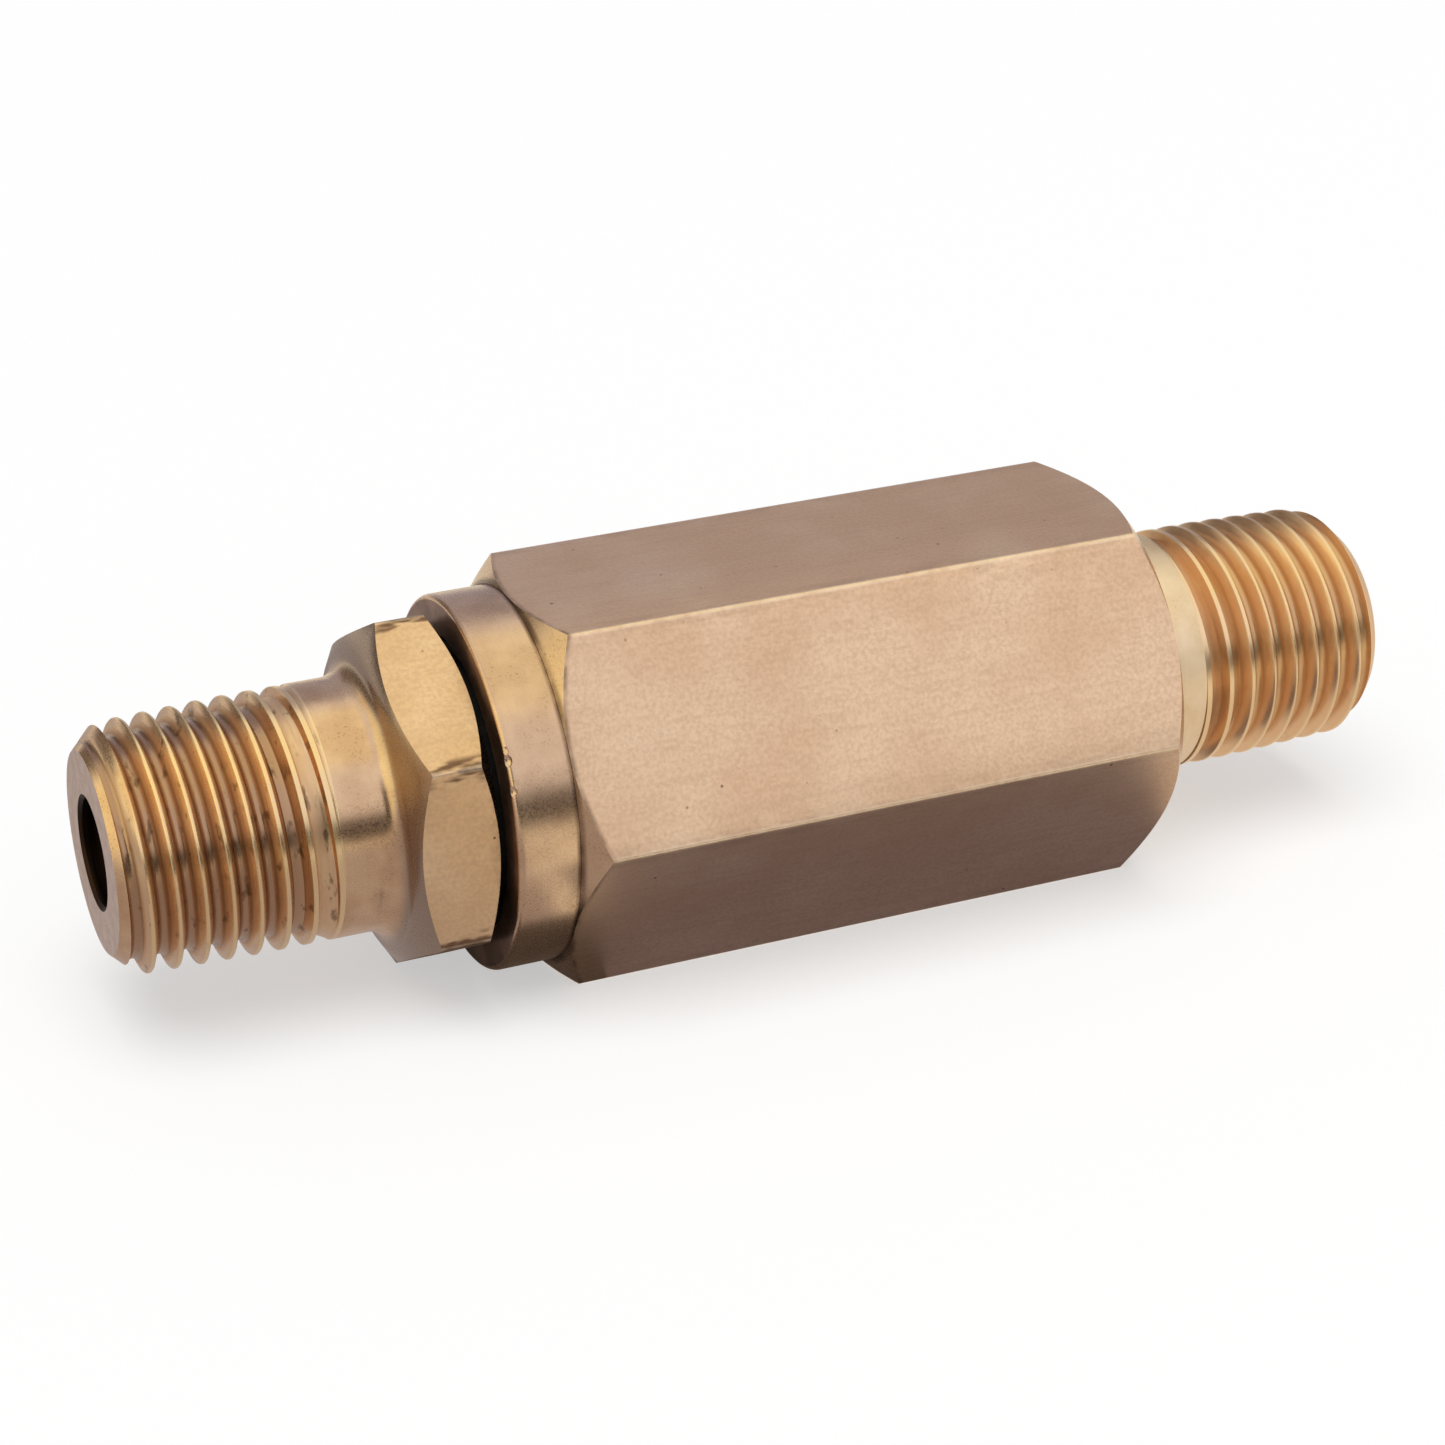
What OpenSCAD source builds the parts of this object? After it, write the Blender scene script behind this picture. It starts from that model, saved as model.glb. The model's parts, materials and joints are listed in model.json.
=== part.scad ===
// Inline needle valve: a hollow stem screws in and out of a hexagonal body and moves a tapered needle.
// The axis of the valve is X, with the inlet at -X. The origin is on the axis, half way along the valve.

/* [Body] */
// Hexagon of the body, across its flats
body_af = 20.64; // [20:0.02:30]
// Length of the body's hexagon
body_hex_len = 35.3; // [34.9:0.1:60]
// Length of the turned collar in front of the hexagon
collar_len = 3.35; // [2.6:0.05:8]
// How far the collar's diameter is turned below the flats
collar_step = 0.14; // [0.1:0.02:0.6]
// Chamfer on the collar's front rim
collar_chamfer = 0.3; // [0.1:0.05:0.6]
// Angle of the chamfer on the hexagon's ends, from the end face
body_chamfer_angle = 37; // [20:1:45]
// Length of the plain neck behind the hexagon
outlet_neck_len = 3.7; // [3.4:0.1:10]
// Length of the outlet thread
outlet_thread_len = 11.6; // [9:0.1:20]

/* [Pipe thread] */
// Diameter of the neck that the taper thread is cut on
pipe_d = 13.72; // [13:0.02:16]
// Crest diameter at the small end of the taper thread
thread_small_d = 13.24; // [12.5:0.02:15.5]
// Distance from crest to crest
thread_pitch = 1.411; // [1:0.001:2]
// Depth of the thread, crest to root
thread_depth = 1.0; // [0.6:0.05:1.2]
// Width of the flat on a crest or a root
thread_flat = 0.12; // [0.05:0.01:0.3]
// Growth of the thread's diameter for each millimetre of length
thread_taper = 0.0625; // [0.04:0.0025:0.1]
// Diameter of the flat end face
end_face_d = 10.82; // [8.5:0.02:11.5]

/* [Stem] */
// Length of the inlet thread
inlet_thread_len = 11.2; // [9:0.1:20]
// Length of the plain neck between the thread and the fillet
stem_neck_len = 2.25; // [1:0.05:10]
// Radius of the fillet from the neck up to the hexagon
neck_fillet = 1.3; // [0.5:0.05:1.5]
// Adjusting hexagon on the stem, across its flats
stem_hex_af = 17.46; // [16.8:0.02:19]
// Length of the adjusting hexagon
stem_hex_len = 4.5; // [3.5:0.1:12]
// Turn of the adjusting hexagon against the body's, at rest
stem_hex_turn = 29.2; // [0:0.1:60]
// Angle of the chamfer on the adjusting hexagon, from the end face
stem_chamfer_angle = 30; // [15:1:40]
// Polished land that runs through the packing
land_d = 12; // [10:0.1:14.4]
// How far the adjusting screw's crests stand above the land
screw_step = 0.2; // [0.15:0.05:0.4]
// Pitch of the adjusting screw
screw_pitch = 1.0; // [0.75:0.05:1.25]
// Length of the adjusting screw
screw_len = 6.8; // [4:0.1:8]
// Wall of the nose round the needle's head
nose_wall = 1.35; // [1:0.05:1.5]

/* [Adjustment] */
// Gap between the adjusting hexagon and the collar at rest
hex_gap = 0.5; // [0.4:0.05:2]
// Turns left before the needle closes the seat
closing_turns = 0.4; // [0:0.05:0.4]
// Turns from rest to fully open
opening_turns = 3.2; // [0.5:0.1:4]

/* [Flow passages] */
// Inlet and outlet bores
bore_d = 5.8; // [4:0.1:6.4]
// Length of the inlet bore
inlet_bore_len = 18; // [10:0.5:30]
// Gallery from the inlet bore to the cross ports
gallery_d = 5; // [3:0.1:5.4]
// Cross ports from the gallery into the valve chamber
port_d = 2.4; // [1.5:0.1:3]
// Number of cross ports
port_count = 4; // [2:1:4]
// Passage between the seat and the outlet bore
passage_d = 5.2; // [4.4:0.1:5.6]

/* [Gland] */
// Width of the packing from the land out to its bore
packing_section = 2.0; // [1.7:0.05:2.1]
// Width of the shoulder that the support ring seats on
gland_shoulder = 0.8; // [0.5:0.05:1]
// Distance from the collar's face to the dust wiper
wiper_recess = 0.25; // [0.1:0.05:1]
// Width of the dust wiper
wiper_w = 1.4; // [0.8:0.1:3]
// Thickness of the gland circlip
circlip_t = 1.0; // [0.8:0.05:1.2]
// Depth of the circlip's groove in the bore
circlip_groove = 0.75; // [0.4:0.05:0.8]
// Thickness of the gland ring
gland_ring_t = 1.5; // [1:0.1:3]
// Height of the wave spring as fitted
spring_h = 1.2; // [0.8:0.1:3]
// Thickness of the spring's strip
spring_t = 0.3; // [0.2:0.05:0.5]
// Number of waves round the spring
spring_waves = 4; // [3:1:6]
// Thickness of the packing washer
washer_t = 0.7; // [0.5:0.1:2]
// Width of one packing ring
packing_w = 0.95; // [0.8:0.05:2]
// Thickness of the support ring behind the packing
support_ring_t = 1.0; // [0.6:0.1:2]

/* [Opening stop] */
// Thickness of the stop clip
stop_clip_t = 0.9; // [0.6:0.1:1.5]
// Depth of the stop clip's groove in the stem
stop_groove = 0.6; // [0.4:0.05:0.8]
// Free length of the stop bore behind the clip
stop_run_out = 1.35; // [0.5:0.05:3]

/* [Needle] */
// Guided shaft of the needle
needle_d = 4.8; // [4:0.1:5]
// Head of the needle, held in the stem's nose
needle_head_d = 5.9; // [5.4:0.1:6]
// Thickness of the head
needle_head_t = 1.3; // [1:0.1:2]
// Neck between head and shaft
needle_neck_d = 3.8; // [3:0.1:4]
// Half angle of the needle's taper
needle_angle = 12; // [8:1:20]
// Diameter of the needle's tip
needle_tip_d = 1.0; // [0.6:0.1:1.4]
// Thrust ball between stem and needle
ball_d = 2.0; // [1.5:0.1:2.2]
// Thickness of the needle clip
needle_clip_t = 0.6; // [0.4:0.05:1]
// Key pin through the needle
key_d = 1.2; // [0.8:0.1:1.4]
// Length of the key pin
key_len = 7.2; // [6.4:0.1:7.4]

/* [Guide bush] */
// Width of the step from the adjusting screw's crests down to the guide bush's bore
bush_step = 0.2; // [0.1:0.05:0.4]
// Length of the guide bush
bush_len = 5.0; // [4.6:0.1:8]
// Flow holes through the guide bush
bush_hole_d = 1.8; // [1:0.1:1.8]
// Depth of the collecting recess in the bush's outlet end
bush_recess = 1.1; // [0.5:0.1:1.5]

/* [Seat] */
// Orifice of the seat
seat_orifice_d = 3.2; // [2:0.1:3.4]
// Width of the shoulder between the retainer's bore and the seat ring's
seat_step = 0.35; // [0.2:0.05:0.5]
// Length of the seat ring
seat_len = 2.6; // [2.4:0.1:3]
// Thickness of the O-ring round the seat
seat_cord_d = 1.2; // [1:0.05:1.3]
// Width of the shoulder that the guide bush seats on
bush_shoulder = 0.4; // [0.2:0.05:0.6]
// Thickness of the seat retainer
retainer_t = 1.1; // [0.8:0.1:2]

/* [Clearances] */
// Radial clearance of what turns or slides
running_clear = 0.05; // [0.02:0.01:0.1]
// Radial clearance of what is fitted and stays
slip_clear = 0.03; // [0.01:0.01:0.05]
// End clearance between pieces that are held loosely
end_clear = 0.05; // [0.02:0.01:0.1]
// Free space kept round pieces that pass each other
free_space = 0.4; // [0.3:0.05:0.6]

/* [Hidden] */
$fn = 96;

// Lengths that a cut runs past a face
over = 1;
closing_travel = closing_turns * screw_pitch;
opening_travel = opening_turns * screw_pitch;

// Outside of the valve, as stations along the axis from the inlet's end face
stem_fillet_x = inlet_thread_len + stem_neck_len;
stem_hex_x = stem_fillet_x + neck_fillet;
stem_hex_end_x = stem_hex_x + stem_hex_len;
mouth_x = stem_hex_end_x + hex_gap;
body_hex_x = mouth_x + collar_len;
outlet_neck_x = body_hex_x + body_hex_len;
outlet_thread_x = outlet_neck_x + outlet_neck_len;
overall_len = outlet_thread_x + outlet_thread_len;
collar_d = body_af - collar_step;
body_corner_d = body_af / cos(30);
stem_corner_d = stem_hex_af / cos(30);

// Gland, from the mouth inwards
gland_bore_d = land_d + 2 * packing_section;
wiper_x = mouth_x + wiper_recess;
circlip_x = wiper_x + wiper_w + free_space;
circlip_groove_d = gland_bore_d + 2 * circlip_groove;
gland_ring_x = circlip_x + circlip_t + end_clear;
spring_x = gland_ring_x + gland_ring_t;
washer_x = spring_x + spring_h;
packing_x = washer_x + washer_t;
packing_count = 3;
support_ring_x = packing_x + packing_count * packing_w;
gland_end_x = support_ring_x + support_ring_t;
ring_outer_d = gland_bore_d - 2 * slip_clear;
ring_inner_d = land_d + 2 * running_clear;

// Opening stop and adjusting screw
stop_bore_d = gland_bore_d - 2 * gland_shoulder;
stop_clip_gap = 0.3;
stop_clip_x = gland_end_x + opening_travel + end_clear;
stop_clip_d = stop_bore_d - 2 * stop_clip_gap;
stop_groove_d = land_d - 2 * stop_groove;
screw_bore_x = stop_clip_x + stop_clip_t + closing_travel + stop_run_out;
screw_d = land_d + 2 * screw_step;
screw_bore_d = screw_d + 2 * running_clear;
screw_lead_in = 0.1;
screw_x = screw_bore_x + screw_lead_in;
screw_end_x = screw_x + screw_len;
screw_bore_end_x = screw_end_x + closing_travel + free_space;
screw_depth = 0.4;

// Nose of the stem and the joint between stem and needle
port_margin = 0.6;
port_x = screw_end_x + port_margin + port_d / 2;
gallery_margin = 0.3;
gallery_end_x = port_x + port_d / 2 + gallery_margin;
socket_web = 1.0;
socket_x = gallery_end_x + socket_web;
socket_d = needle_head_d + 4 * running_clear;
nose_d = socket_d + 2 * nose_wall;
ball_clear = 0.02;
ball_x = socket_x + ball_clear + ball_d / 2;
head_setback = 0.28;
head_x = ball_x + head_setback;
head_end_x = head_x + needle_head_t;
needle_clip_x = head_end_x + end_clear;
needle_clip_groove = 0.4;
needle_clip_groove_d = socket_d + 2 * needle_clip_groove;
nose_lip = 0.6;
nose_end_x = needle_clip_x + needle_clip_t + nose_lip;

// Guide bush, seat retainer and seat ring
bush_x = nose_end_x + closing_travel + free_space;
bush_end_x = bush_x + bush_len;
bush_bore_d = screw_d - 2 * bush_step;
bush_d = bush_bore_d - 2 * slip_clear;
key_end_clear = 0.1;
keyway_r = key_len / 2 + 2 * key_end_clear;
keyway_w = key_d + 2 * running_clear;
key_x = bush_end_x - bush_recess - closing_travel - key_end_clear;
bush_wall = 0.35;
bush_hole_count = 4;
bush_hole_r = bush_d / 2 - bush_wall - bush_hole_d / 2;
retainer_gap = 0.2;
retainer_x = bush_end_x + retainer_gap;
retainer_bore_d = bush_bore_d - 2 * bush_shoulder;
retainer_d = retainer_bore_d - 2 * slip_clear;
needle_space = 0.6;
retainer_hole_d = needle_d + 2 * needle_space;
seat_x = retainer_x + retainer_t;
seat_end_x = seat_x + seat_len;
seat_bore_d = retainer_bore_d - 2 * seat_step;
seat_d = seat_bore_d - 2 * slip_clear;
seat_entry = 0.4;
throat_x = seat_x + seat_entry;
throat_len = 0.6;
seat_groove_d = seat_bore_d - 2 * seat_cord_d - 4 * slip_clear;
seat_groove_w = seat_cord_d + 3 * end_clear;
seat_lip = 0.45;
seat_groove_x = seat_end_x - seat_lip - seat_groove_w;
seat_exit_step = 0.7;

// Needle: at the closed end of its travel the taper just clears the orifice's edge
taper_r = seat_orifice_d / 2 - slip_clear;
taper_x = throat_x - closing_travel;
taper_slope = tan(needle_angle);
taper_lead = 0.55;
taper_top_x = seat_x - taper_lead;
taper_top_r = taper_r + (taper_x - taper_top_x) * taper_slope;
needle_shaft_end_x = taper_top_x - (needle_d / 2 - taper_top_r);
needle_tip_x = taper_x + (taper_r - needle_tip_d / 2) / taper_slope;
outlet_bore_x = needle_tip_x + closing_travel + free_space;

// Colours
bar_brass = [0.80, 0.64, 0.50];
turned_brass = [0.85, 0.70, 0.48];
spring_steel = [0.30, 0.30, 0.32];
stainless = [0.72, 0.73, 0.74];
ptfe = [0.93, 0.92, 0.88];
nitrile = [0.08, 0.08, 0.08];

// Turns a shape made along Z on to the valve's axis, with its zero at a station
module on_axis(station = 0) {
    translate([station - overall_len / 2, 0, 0]) rotate([90, 0, 90]) children();
}

// Cylinder between two stations
module rod(from, to, d) {
    translate([0, 0, from]) cylinder(h = to - from, d = d);
}

// Ring between two stations
module ring(from, to, outer_d, inner_d) {
    difference() {
        rod(from, to, outer_d);
        rod(from - over, to + over, inner_d);
    }
}

// Outline of ridges and grooves, from a first groove onwards, on a radius that may grow
function ridge_outline(count, pitch, crest_r, depth, flat, slope, limit_r) = [
    for (i = [0 : count - 1], point = [
        [crest_r - depth + i * pitch * slope, (i + 0.5) * pitch - flat / 2],
        [crest_r - depth + i * pitch * slope, (i + 0.5) * pitch + flat / 2],
        [min(crest_r + (i + 1) * pitch * slope, limit_r), (i + 1) * pitch - flat / 2],
        [min(crest_r + (i + 1) * pitch * slope, limit_r), (i + 1) * pitch + flat / 2]
    ]) point
];

// Male taper thread with its small end at zero, drawn as ridges round the axis
module taper_thread(length) {
    small_r = thread_small_d / 2;
    first_x = small_r - end_face_d / 2;
    slope = thread_taper / 2;
    count = floor((length - first_x) / thread_pitch);
    ridges = ridge_outline(count, thread_pitch, small_r, thread_depth, thread_flat, slope, pipe_d / 2);
    rotate_extrude() polygon(concat(
        [[0, 0], [end_face_d / 2, 0], [small_r, first_x]],
        [for (p = ridges) [p[0], p[1] + first_x]],
        [[pipe_d / 2, length], [0, length]]
    ));
}

// Hexagon between two stations, with the corners chamfered from a radius on each end face
module chamfered_hexagon(from, to, corner_d, front_r, back_r, angle) {
    corner_r = corner_d / 2;
    envelope_r = corner_r + over;
    front_len = (envelope_r - front_r) * tan(angle);
    back_len = (envelope_r - back_r) * tan(angle);
    intersection() {
        translate([0, 0, from]) cylinder(h = to - from, r = corner_r, $fn = 6);
        rotate_extrude() polygon([
            [0, from], [front_r, from], [envelope_r, from + front_len],
            [envelope_r, to - back_len], [back_r, to], [0, to]
        ]);
    }
}

// Bores of the body, each a little smaller than the one before it
module body_bores() {
    rod(mouth_x - over, gland_end_x, gland_bore_d);
    rod(circlip_x - end_clear / 2, circlip_x + circlip_t + end_clear / 2, circlip_groove_d);
    rod(gland_end_x - over, screw_bore_x, stop_bore_d);
    rod(screw_bore_x - over, screw_bore_end_x, screw_bore_d);
    rod(screw_bore_end_x - over, bush_end_x, bush_bore_d);
    rod(bush_end_x - over, seat_x, retainer_bore_d);
    rod(seat_x - over, seat_end_x, seat_bore_d);
    rod(seat_end_x - over, outlet_bore_x, passage_d);
    rod(outlet_bore_x, overall_len + over, bore_d);
}

module valve_body() {
    color(bar_brass) on_axis() difference() {
        union() {
            rod(mouth_x + collar_chamfer, body_hex_x + over, collar_d);
            translate([0, 0, mouth_x])
                cylinder(h = collar_chamfer, d1 = collar_d - 2 * collar_chamfer, d2 = collar_d);
            chamfered_hexagon(body_hex_x, outlet_neck_x, body_corner_d, body_af / 2, body_af / 2,
                              body_chamfer_angle);
            rod(outlet_neck_x - over, outlet_thread_x, pipe_d);
            translate([0, 0, overall_len]) mirror([0, 0, 1]) taper_thread(outlet_thread_len);
        }
        body_bores();
    }
}

// Concave fillet between the stem's neck and its hexagon
module neck_fillet_ring() {
    outer_r = pipe_d / 2 + neck_fillet;
    difference() {
        rod(stem_fillet_x, stem_hex_x, 2 * outer_r);
        translate([0, 0, stem_fillet_x]) rotate_extrude() translate([outer_r, 0]) circle(r = neck_fillet);
    }
}

// Adjusting screw, drawn as ridges round the axis
module adjusting_screw() {
    count = floor(screw_len / screw_pitch);
    crest_r = screw_d / 2;
    ridges = ridge_outline(count, screw_pitch, crest_r, screw_depth, thread_flat, 0, crest_r);
    translate([0, 0, screw_x]) rotate_extrude() polygon(concat(
        [[0, 0], [crest_r, 0]],
        ridges,
        [[crest_r, screw_len], [0, screw_len]]
    ));
}

module stem_outside() {
    taper_thread(inlet_thread_len);
    rod(inlet_thread_len, stem_hex_x + over, pipe_d);
    neck_fillet_ring();
    rotate([0, 0, stem_hex_turn])
        chamfered_hexagon(stem_hex_x, stem_hex_end_x, stem_corner_d, pipe_d / 2 + neck_fillet,
                          stem_hex_af / 2, stem_chamfer_angle);
    rod(stem_hex_end_x - over, screw_x, land_d);
    adjusting_screw();
    rod(screw_end_x, nose_end_x, nose_d);
}

module hollow_stem() {
    color(turned_brass) on_axis() difference() {
        stem_outside();
        rod(-over, inlet_bore_len, bore_d);
        rod(inlet_bore_len - over, gallery_end_x, gallery_d);
        for (i = [0 : port_count - 1])
            translate([0, 0, port_x]) rotate([0, 0, i * 360 / port_count])
                rotate([0, 90, 0]) cylinder(h = nose_d, d = port_d);
        ring(stop_clip_x - end_clear / 2, stop_clip_x + stop_clip_t + end_clear / 2, screw_d, stop_groove_d);
        rod(socket_x, nose_end_x + over, socket_d);
        rod(needle_clip_x - end_clear / 2, needle_clip_x + needle_clip_t + end_clear / 2,
            needle_clip_groove_d);
    }
}

module dust_wiper() {
    lip_w = 0.25;
    shoulder = 0.3;
    lip_r = ring_inner_d / 2;
    back_r = lip_r + 2 * lip_w;
    outer_r = ring_outer_d / 2;
    color(nitrile) on_axis(wiper_x) rotate_extrude() polygon([
        [lip_r, 0], [lip_r + lip_w, 0], [back_r, wiper_w / 2], [outer_r - shoulder, 0],
        [outer_r, shoulder], [outer_r, wiper_w], [back_r, wiper_w], [lip_r, lip_w]
    ]);
}

module gland_circlip() {
    strip_w = 1.5;
    outer_d = circlip_groove_d - 2 * slip_clear;
    inner_d = outer_d - 2 * strip_w;
    lug_d = 1.8;
    lug_hole_d = 0.8;
    lug_r = inner_d / 2;
    lug_angle = 24;
    opening_w = 5;
    color(spring_steel) on_axis(circlip_x) difference() {
        union() {
            difference() {
                ring(0, circlip_t, outer_d, inner_d);
                translate([-opening_w / 2, -outer_d, -over]) cube([opening_w, outer_d, circlip_t + 2 * over]);
            }
            for (side = [-1, 1])
                rotate([0, 0, side * lug_angle - 90]) translate([lug_r, 0, 0]) cylinder(h = circlip_t, d = lug_d);
        }
        for (side = [-1, 1])
            rotate([0, 0, side * lug_angle - 90]) translate([lug_r, 0, -over])
                cylinder(h = circlip_t + 2 * over, d = lug_hole_d);
    }
}

module gland_ring() {
    chamfer = 0.25;
    inner_r = ring_inner_d / 2;
    outer_r = ring_outer_d / 2;
    color(turned_brass) on_axis(gland_ring_x) rotate_extrude() polygon([
        [inner_r + chamfer, 0], [outer_r - chamfer, 0], [outer_r, chamfer], [outer_r, gland_ring_t],
        [inner_r, gland_ring_t], [inner_r, chamfer]
    ]);
}

// Flat strip ring that rises and falls round the axis
module wave_spring() {
    steps = 72;
    edge_gap = 0.3;
    inner_r = ring_inner_d / 2 + edge_gap;
    outer_r = ring_outer_d / 2 - edge_gap;
    swing = (spring_h - spring_t - end_clear) / 2;
    middle = spring_h / 2;
    points = [
        for (i = [0 : steps - 1])
            let (a = i * 360 / steps, z = middle + swing * cos(spring_waves * a))
            for (corner = [[inner_r, -1], [outer_r, -1], [outer_r, 1], [inner_r, 1]])
                [corner[0] * cos(a), corner[0] * sin(a), z + corner[1] * spring_t / 2]
    ];
    faces = [
        for (i = [0 : steps - 1], k = [0 : 3])
            let (a = 4 * i, b = 4 * ((i + 1) % steps), n = (k + 1) % 4)
            for (face = [[a + k, b + k, b + n], [a + k, b + n, a + n]]) face
    ];
    color(spring_steel) on_axis(spring_x) polyhedron(points, faces);
}

module packing_washer() {
    color(stainless) on_axis() ring(washer_x, packing_x, ring_outer_d, ring_inner_d);
}

// One chevron ring of the packing, which nests on the next
module packing_ring(index) {
    inner_r = ring_inner_d / 2;
    outer_r = ring_outer_d / 2;
    middle_r = (inner_r + outer_r) / 2;
    rise = 0.4;
    start = index == 0 ? 0 : rise;
    finish = index == packing_count - 1 ? 0 : rise;
    color(ptfe) on_axis(packing_x + index * packing_w) rotate_extrude() polygon([
        [inner_r, 0], [middle_r, start], [outer_r, 0],
        [outer_r, packing_w], [middle_r, packing_w + finish], [inner_r, packing_w]
    ]);
}

module packing_ring_1() packing_ring(0);
module packing_ring_2() packing_ring(1);
module packing_ring_3() packing_ring(2);

module support_ring() {
    color(turned_brass) on_axis() ring(support_ring_x, gland_end_x, ring_outer_d, ring_inner_d);
}

// Snap ring with a gap, between two diameters
module snap_ring(thickness, outer_d, inner_d, gap_w) {
    difference() {
        ring(0, thickness, outer_d, inner_d);
        translate([0, -gap_w / 2, -over]) cube([outer_d, gap_w, thickness + 2 * over]);
    }
}

module stop_clip() {
    opening_w = 3;
    color(spring_steel) on_axis(stop_clip_x)
        snap_ring(stop_clip_t, stop_clip_d, stop_groove_d + 2 * slip_clear, opening_w);
}

module thrust_ball() {
    color(stainless) on_axis(ball_x) sphere(d = ball_d);
}

module needle_clip() {
    opening_w = 1.6;
    inner_d = needle_neck_d + 2 * free_space;
    color(spring_steel) on_axis(needle_clip_x)
        snap_ring(needle_clip_t, needle_clip_groove_d - 2 * slip_clear, inner_d, opening_w);
}

module needle() {
    shaft_x = nose_end_x + free_space;
    pocket_d = ball_d + 2 * running_clear;
    pocket_end_x = ball_x + ball_d / 2 + ball_clear;
    color(stainless) on_axis() difference() {
        rotate_extrude() polygon([
            [0, head_x], [needle_head_d / 2, head_x], [needle_head_d / 2, head_end_x],
            [needle_neck_d / 2, head_end_x], [needle_neck_d / 2, shaft_x], [needle_d / 2, shaft_x],
            [needle_d / 2, needle_shaft_end_x], [taper_top_r, taper_top_x],
            [needle_tip_d / 2, needle_tip_x], [0, needle_tip_x]
        ]);
        rod(head_x - over, pocket_end_x, pocket_d);
        translate([0, 0, key_x]) rotate([0, 90, 0])
            cylinder(h = 2 * needle_d, d = key_d + 2 * slip_clear, center = true);
    }
}

module needle_key() {
    color(stainless) on_axis(key_x) rotate([0, 90, 0]) cylinder(h = key_len, d = key_d, center = true);
}

module guide_bush() {
    color(turned_brass) on_axis() difference() {
        ring(bush_x, bush_end_x, bush_d, needle_d + 2 * running_clear);
        translate([-keyway_r, -keyway_w / 2, bush_x - over]) cube([2 * keyway_r, keyway_w, bush_len + 2 * over]);
        for (i = [0 : bush_hole_count - 1])
            rotate([0, 0, (i + 0.5) * 360 / bush_hole_count]) translate([bush_hole_r, 0, 0])
                rod(bush_x - over, bush_end_x + over, bush_hole_d);
        rod(bush_end_x - bush_recess, bush_end_x + over, 2 * (bush_hole_r + bush_hole_d / 2));
    }
}

module seat_retainer() {
    slot_w = 1.2;
    slot_depth = 0.5;
    color(turned_brass) on_axis() difference() {
        ring(retainer_x, seat_x, retainer_d, retainer_hole_d);
        translate([-retainer_d, -slot_w / 2, retainer_x - over])
            cube([2 * retainer_d, slot_w, slot_depth + over]);
    }
}

module seat_ring() {
    throat_r = seat_orifice_d / 2;
    exit_r = throat_r + seat_exit_step;
    color(stainless) on_axis() difference() {
        rod(seat_x, seat_end_x, seat_d);
        rotate_extrude() polygon([
            [0, seat_x - over], [throat_r + seat_entry + over, seat_x - over], [throat_r, throat_x],
            [throat_r, throat_x + throat_len], [exit_r, throat_x + throat_len + seat_exit_step],
            [exit_r, seat_end_x + over], [0, seat_end_x + over]
        ]);
        ring(seat_groove_x, seat_groove_x + seat_groove_w, seat_d + over, seat_groove_d);
    }
}

module seat_o_ring() {
    centre_r = (seat_groove_d + seat_bore_d) / 4;
    color(nitrile) on_axis(seat_groove_x + seat_groove_w / 2)
        rotate_extrude() translate([centre_r, 0]) circle(d = seat_cord_d);
}

valve_body();
hollow_stem();
dust_wiper();
gland_circlip();
gland_ring();
wave_spring();
packing_washer();
packing_ring_1();
packing_ring_2();
packing_ring_3();
support_ring();
stop_clip();
thrust_ball();
needle_clip();
needle();
needle_key();
guide_bush();
seat_retainer();
seat_ring();
seat_o_ring();
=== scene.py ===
"""Inline needle valve, rebuilt on the CAD frame: the body and the hollow stem are turned from hexagon bar
and get true helical threads, and every other piece keeps its CAD shape and gets its real finish."""
import json
import math

import bpy
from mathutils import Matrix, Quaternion, Vector


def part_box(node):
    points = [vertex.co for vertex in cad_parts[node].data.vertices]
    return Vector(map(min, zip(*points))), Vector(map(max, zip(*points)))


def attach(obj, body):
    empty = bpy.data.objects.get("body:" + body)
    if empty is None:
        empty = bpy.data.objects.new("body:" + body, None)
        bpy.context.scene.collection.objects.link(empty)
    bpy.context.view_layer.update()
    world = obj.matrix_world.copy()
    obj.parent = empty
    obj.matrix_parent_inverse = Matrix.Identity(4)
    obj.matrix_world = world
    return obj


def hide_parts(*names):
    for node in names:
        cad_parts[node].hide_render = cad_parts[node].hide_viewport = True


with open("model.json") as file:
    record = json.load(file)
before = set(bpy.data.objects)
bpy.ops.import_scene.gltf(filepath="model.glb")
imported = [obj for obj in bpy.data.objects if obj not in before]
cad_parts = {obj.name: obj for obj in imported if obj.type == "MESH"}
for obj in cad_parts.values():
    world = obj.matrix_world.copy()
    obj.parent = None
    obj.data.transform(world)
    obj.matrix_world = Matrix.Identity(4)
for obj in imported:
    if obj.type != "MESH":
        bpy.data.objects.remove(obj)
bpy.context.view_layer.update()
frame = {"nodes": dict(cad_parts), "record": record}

MM = 0.001
SIDES = 128  # facets round a turned surface
MERGE = 1e-6  # vertices nearer than this are one
OVER = 1.0  # millimetres that a cutting piece runs past what it cuts

# Places along the axis, in millimetres from the valve's middle
INLET_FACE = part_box("hollow_stem")[0].x / MM
NOSE_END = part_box("hollow_stem")[1].x / MM
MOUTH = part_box("valve_body")[0].x / MM
OUTLET_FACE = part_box("valve_body")[1].x / MM
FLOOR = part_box("valve_body")[0].z

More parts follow.
